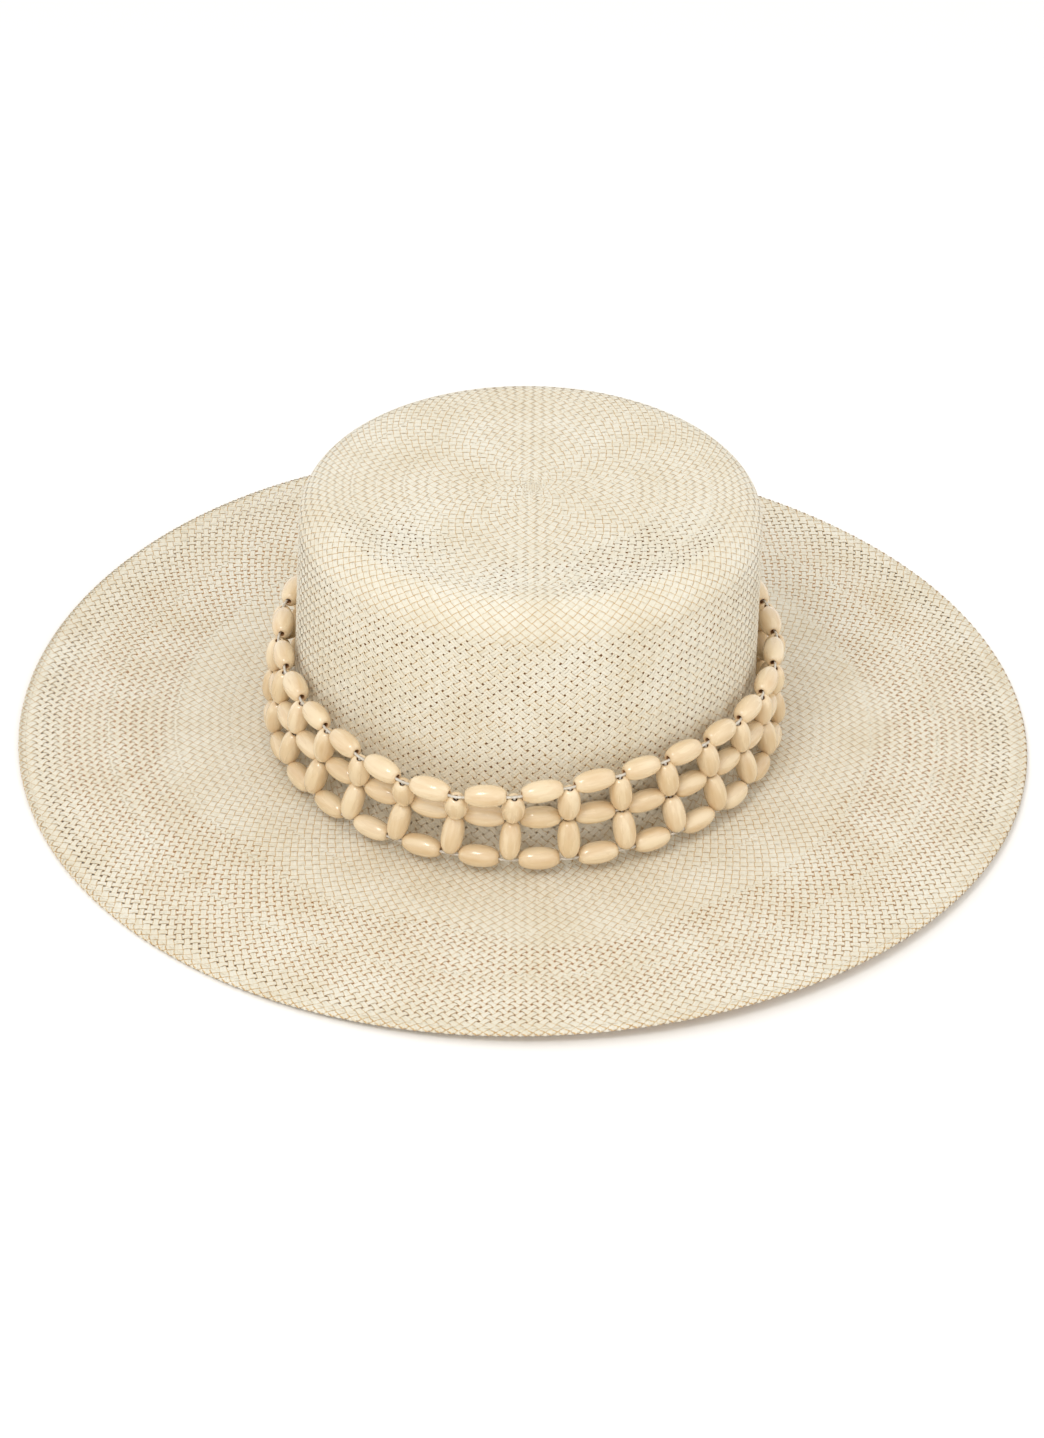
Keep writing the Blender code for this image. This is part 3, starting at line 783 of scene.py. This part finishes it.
def make_bead_net(wood, cord):
    """The columns of beads, the cord that runs through them and the knot that closes it."""
    columns = [column_knots(turn) for turn in column_turns()]
    strings = Shape()
    for index, (knots, normal) in enumerate(columns):
        following = columns[(index + 1) % COLUMNS][0]
        shape = Shape()
        step = UPRIGHT_STEP * normal
        for lower, upper in zip(knots, knots[1:]):
            add_bead(shape, 0.5 * (lower + upper) + step, upper - lower, BEAD_LENGTH - 0.2 * MM)
        for knot, next_knot in zip(knots, following):
            add_bead(shape, 0.5 * (knot + next_knot), next_knot - knot)
        name = f"beads_{index + 1:02d}"
        shape.build(name, wood, "bead_band", "bead_wood", [f"bead_column_{index + 1:02d}"])
        add_tube(strings, smooth_path(knots + step, False), CORD_RADIUS)
    for row in range(3):
        crossings = np.array([knots[row] for knots, _ in columns])
        path = np.empty((2 * COLUMNS, 3))
        path[0::2] = crossings + UPRIGHT_STEP * np.array([normal for _, normal in columns])
        path[1::2] = 0.5 * (crossings + np.roll(crossings, -1, axis=0))
        add_tube(strings, smooth_path(path, True), CORD_RADIUS, closed=True)
    strings.build("bead_cord", cord, "bead_band", "bead_cord")
    make_knot(cord)


def smooth_path(path, closed):
    """More points between the given ones, on a smooth curve through them."""
    count = len(path)
    if closed:
        padded = np.concatenate([path[-1:], path, path[:2]])
    else:
        padded = np.concatenate([2 * path[:1] - path[1:2], path, 2 * path[-1:] - path[-2:-1]])
    found = []
    for index in range(count if closed else count - 1):
        p0, p1, p2, p3 = padded[index : index + 4]
        for t in np.arange(CURVE_STEPS) / CURVE_STEPS:
            found.append(
                0.5
                * (
                    2 * p1
                    + (p2 - p0) * t
                    + (2 * p0 - 5 * p1 + 4 * p2 - p3) * t**2
                    + (3 * p1 - p0 - 3 * p2 + p3) * t**3
                )
            )
    if not closed:
        found.append(path[-1])
    return np.array(found)


def make_knot(cord):
    """The knot that closes the cord at the back: loops, two short ends and a tail to the net."""
    low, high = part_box("bead_cord_knot")
    middle = np.array((low + high) / 2)
    shape = Shape()
    turns = np.linspace(0, 2 * math.pi, 40, endpoint=False)
    for tilt in (0.0, 2.1, 4.2):
        loop = np.stack(
            [
                KNOT_RADIUS * np.cos(turns),
                KNOT_RADIUS * np.sin(turns) * math.cos(tilt),
                KNOT_RADIUS * np.sin(turns) * math.sin(tilt) + 0.25 * MM * np.cos(2 * turns),
            ],
            axis=-1,
        )
        add_tube(shape, middle + loop, CORD_RADIUS, closed=True)
    for side in (-1, 1):
        end = [(0, 0, 0), (1.2 * side, 0.2, 0.8), (2.2 * side, 0.5, 2.0), (2.6 * side, 0.6, 3.4)]
        add_tube(shape, smooth_path(middle + np.array(end) * MM, False), 0.8 * CORD_RADIUS)
    tail = np.array([(0, 0, 0), (0, -0.2, -2.2), (0, -0.5, -4.6)])
    add_tube(shape, smooth_path(middle + tail * MM, False), CORD_RADIUS)
    shape.build("bead_cord_knot_tied", cord, "bead_band", "bead_cord", ["bead_cord_knot"])


# ---------------------------------------------------------------- sweatband and sewing


def wall_ring(turn, height, depth):
    """Points at a height over the brim and a depth inside the outer face of the crown's wall."""
    share = (height - FILLET_RADIUS) / (CROWN_HEIGHT - SHOULDER_RADIUS - FILLET_RADIUS)
    width = BASE_HALF_WIDTH + share * (TOP_HALF_WIDTH - BASE_HALF_WIDTH) - depth
    length = BASE_HALF_LENGTH + share * (TOP_HALF_LENGTH - BASE_HALF_LENGTH) - depth
    lean = CROWN_LEAN * np.maximum(height, 0) / CROWN_HEIGHT
    return np.stack([width * np.sin(turn) + lean, -length * np.cos(turn), BRIM_LEVEL + height], -1)


def make_sweatband(material):
    """A ribbed band with rolled edges, as one closed strip round the inside of the crown."""
    turn = np.linspace(0, 2 * math.pi, BAND_COLUMNS, endpoint=False)
    rows = []
    heights = [1.3, 1.05, 1.15, 1.8, 4.0, 9.0, 15.0, 21.0, 26.0, 29.0, 29.9, 29.95, 29.6]
    bulges = [0.35, 0.1, -0.1, 0.0, 0.1, 0.12, 0.15, 0.12, 0.1, 0.0, -0.1, 0.1, 0.3]
    inner_depth = WALL_THICKNESS + BAND_GAP + 0.85
    for height, bulge in zip(heights, bulges):
        rib = 0.09 * (np.arange(BAND_COLUMNS) % 2)
        slow = 0.12 * np.sin(7 * turn + 0.3 * height) * (1 if 3 < height < 28 else 0)
        depth = (inner_depth - bulge + rib + slow) * MM
        rows.append((height, depth))
    outer_depth = np.full(BAND_COLUMNS, (WALL_THICKNESS + 0.45) * MM)
    rows += [(height, outer_depth) for height in (27.0, 15.0, 3.0)]
    points = [wall_ring(turn, np.full(BAND_COLUMNS, height * MM), depth) for height, depth in rows]
    shape = Shape()
    shape.add(np.array(points), [ring_faces(len(rows), BAND_COLUMNS)])
    return shape.build("sweatband_ribbed", material, "hat", "sweatband_fabric", ["sweatband"])


def add_stitch(shape, start, end, normal, radius):
    """One stitch: a bent thread that dips into the cloth at both its ends."""
    shares = np.linspace(0, 1, 6)
    rise = np.sin(math.pi * shares) ** 0.5 * 0.9 * radius - 0.6 * radius
    path = start + shares[:, None] * (end - start) + rise[:, None] * normal
    radii = radius * np.array([0.6, 1.0, 1.05, 1.05, 1.0, 0.6])
    add_tube(shape, path, radii, sides=6)


def make_stitching(material):
    """The rows of stitches that hold the hem down and the sweatband in."""
    shape = Shape()
    for index in range(HEM_STITCHES):
        turns = 2 * math.pi * (index + np.array([0.1, 0.75])) / HEM_STITCHES
        spread = spread_at(run=FOLD_RUN - HEM_STITCH_INSET)
        points, normals = surface(turns, np.array([spread, spread]), -0.12 * MM)
        add_stitch(shape, points[0], points[1], normals[0], 0.17 * MM)
    shape.build("hem_stitches", material, "hat", "sewing_thread", ["hem_stitching"])
    shape = Shape()
    depth = (WALL_THICKNESS + BAND_GAP + 0.9 + 0.05) * MM  # just inside the band's inner face
    for index in range(BAND_STITCHES):
        turns = 2 * math.pi * (index + np.array([0.1, 0.7])) / BAND_STITCHES
        points = wall_ring(turns, np.full(2, BAND_STITCH_HEIGHT), depth)
        inward = np.array([-math.sin(turns[0]), math.cos(turns[0]), 0.0])
        add_stitch(shape, points[0], points[1], inward, 0.2 * MM)
    shape.build("sweatband_stitches", material, "hat", "sewing_thread", ["sweatband_stitching"])


def make_tab(material, thread):
    """A small blank folded tab with rounded corners, held by a stitch at each corner."""
    low, high = (np.array(corner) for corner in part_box("size_tab"))
    middle, size = 0.5 * (low + high), high - low
    columns, rows = 25, 17
    u, v = np.meshgrid(np.linspace(-1, 1, columns), np.linspace(-1, 1, rows))
    flat_u, flat_v = 0.86, 0.8  # where the corners begin, as shares of the half width and height
    past_u = np.clip(np.abs(u) - flat_u, 0, 1) / 0.14
    past_v = np.clip(np.abs(v) - flat_v, 0, 1) / 0.2
    corner = np.clip(np.hypot(past_u, past_v), 1.0, None) ** 0.25
    x = middle[0] + 0.5 * size[0] * u / np.where(np.abs(u) > flat_u, corner, 1)
    z = middle[2] + 0.5 * size[2] * v / np.where(np.abs(v) > flat_v, corner, 1)
    rib = 0.03 * MM * (np.arange(columns)[None, :] % 2)
    puff = 0.12 * MM * (1 - np.abs(u) ** 4) * (1 - np.abs(v) ** 4)
    front = np.stack([x, low[1] + 0.2 * MM - puff + rib + 0 * v, z], -1).reshape(-1, 3)
    back = np.stack([x, np.full_like(x, high[1] - 0.05 * MM), z], -1).reshape(-1, 3)
    index = np.arange(columns * rows).reshape(rows, columns)
    corners = [index[:-1, :-1], index[:-1, 1:], index[1:, 1:], index[1:, :-1]]
    quads = np.stack(corners, -1).reshape(-1, 4)
    rim = np.concatenate([index[0, :-1], index[:-1, -1], index[-1, :0:-1], index[:0:-1, 0]])
    total = columns * rows
    sides = np.stack([rim, rim + total, np.roll(rim, -1) + total, np.roll(rim, -1)], 1)
    shape = Shape()
    shape.add(np.concatenate([front, back]), [quads, quads[:, ::-1] + total, sides])
    shape.build("size_tab_blank", material, "hat", "tab_fabric", ["size_tab"])
    stitches = Shape()
    half_stitch = np.array([0.0, 0.0, 0.9 * MM])
    toward_head = np.array([0.0, -1.0, 0.0])
    for side_x in (-1, 1):
        for side_z in (-1, 1):
            at = middle + np.array([side_x * 0.42 * size[0], 0, side_z * 0.34 * size[2]])
            at[1] = low[1] + 0.15 * MM
            add_stitch(stitches, at - half_stitch, at + half_stitch, toward_head, 0.2 * MM)
    stitches.build("size_tab_stitches", thread, "hat", "sewing_thread")


# ---------------------------------------------------------------- studio


def make_camera():
    """The camera, at the height, distance and slight roll that the hat is looked at from."""
    tilt = math.radians(33.5)
    roll = math.radians(1.1)
    distance = 1.6
    target = Vector((0.0, 0.0, BRIM_LEVEL))
    place = target + distance * Vector((0.0, -math.cos(tilt), math.sin(tilt)))
    right = Vector((1.0, 0.0, 0.0))
    up = Vector((0.0, math.sin(tilt), math.cos(tilt)))
    aim = target - 0.51 * MM * right - 1.31 * MM * up
    camera = bpy.data.objects.new("camera", bpy.data.cameras.new("camera"))
    camera.data.sensor_fit = "HORIZONTAL"
    camera.data.sensor_width = 36.0
    camera.data.lens = 145.7
    camera.data.clip_end = 20.0
    camera.rotation_mode = "QUATERNION"
    look = (aim - place).to_track_quat("-Z", "Y")
    camera.rotation_quaternion = look @ Quaternion((0.0, 0.0, 1.0), roll)
    camera.location = place
    bpy.context.scene.collection.objects.link(camera)
    bpy.context.scene.camera = camera


def add_light(name, place, size, power):
    """A soft white light that faces the origin."""
    light = bpy.data.lights.new(name, "AREA")
    light.shape = "RECTANGLE"
    light.size, light.size_y = size
    light.energy = power
    obj = bpy.data.objects.new(name, light)
    obj.location = place
    obj.rotation_mode = "QUATERNION"
    obj.rotation_quaternion = (-Vector(place)).to_track_quat("-Z", "Y")
    bpy.context.scene.collection.objects.link(obj)


def add_straw_glow():
    """Stands for the warm light that thin straw lets through: a dim disc under the brim."""
    light = bpy.data.lights.new("straw_glow", "AREA")
    light.shape = "ELLIPSE"
    light.size, light.size_y = 0.350, 0.364
    light.energy = 0.09
    light.color = (1.0, 0.50, 0.19)
    obj = bpy.data.objects.new("straw_glow", light)
    obj.location = (0.0, 0.0, 0.0004)
    obj.rotation_euler = (math.pi, 0.0, 0.0)
    bpy.context.scene.collection.objects.link(obj)


def make_studio():
    """A near-white floor and surroundings, with soft lights from the front and the right."""
    bpy.context.scene.view_settings.view_transform = "Standard"
    bm = bmesh.new()
    bmesh.ops.create_grid(bm, x_segments=2, y_segments=2, size=6.0)
    mesh = bpy.data.meshes.new("floor")
    bm.to_mesh(mesh)
    bm.free()
    floor = bpy.data.objects.new("floor", mesh)
    mesh.materials.append(floor_material())
    bpy.context.scene.collection.objects.link(floor)
    world = bpy.data.worlds.new("studio")
    bpy.context.scene.world = world
    world.use_nodes = True
    background = world.node_tree.nodes["Background"]
    background.inputs["Color"].default_value = (1.0, 1.0, 1.0, 1.0)
    background.inputs["Strength"].default_value = 0.96
    add_light("key", (-0.55, -1.0, 1.5), (0.5, 0.5), 8.0)
    add_light("front", (0.3, -2.2, 0.9), (2.0, 1.2), 3.5)
    add_light("side", (1.6, -0.3, 1.2), (1.5, 1.5), 3.0)
    add_straw_glow()


def main():
    make_camera()
    make_studio()
    straw = straw_material()
    wood = wood_material()
    cord = cord_material()
    thread = fabric_material("sewing_thread_cotton", (0.74, 0.66, 0.50), (0.88, 0.82, 0.68), 3000.0)
    make_crown_top(straw)
    make_crown_wall(straw)
    make_brim(straw)
    make_bead_net(wood, cord)
    ribbed = fabric_material("sweatband_grosgrain", (0.72, 0.65, 0.52), (0.84, 0.78, 0.66), 1800.0)
    band = make_sweatband(ribbed)
    make_stitching(thread)
    satin = fabric_material("tab_satin", (0.80, 0.78, 0.72), (0.92, 0.90, 0.86), 2200.0)
    make_tab(satin, thread)


main()
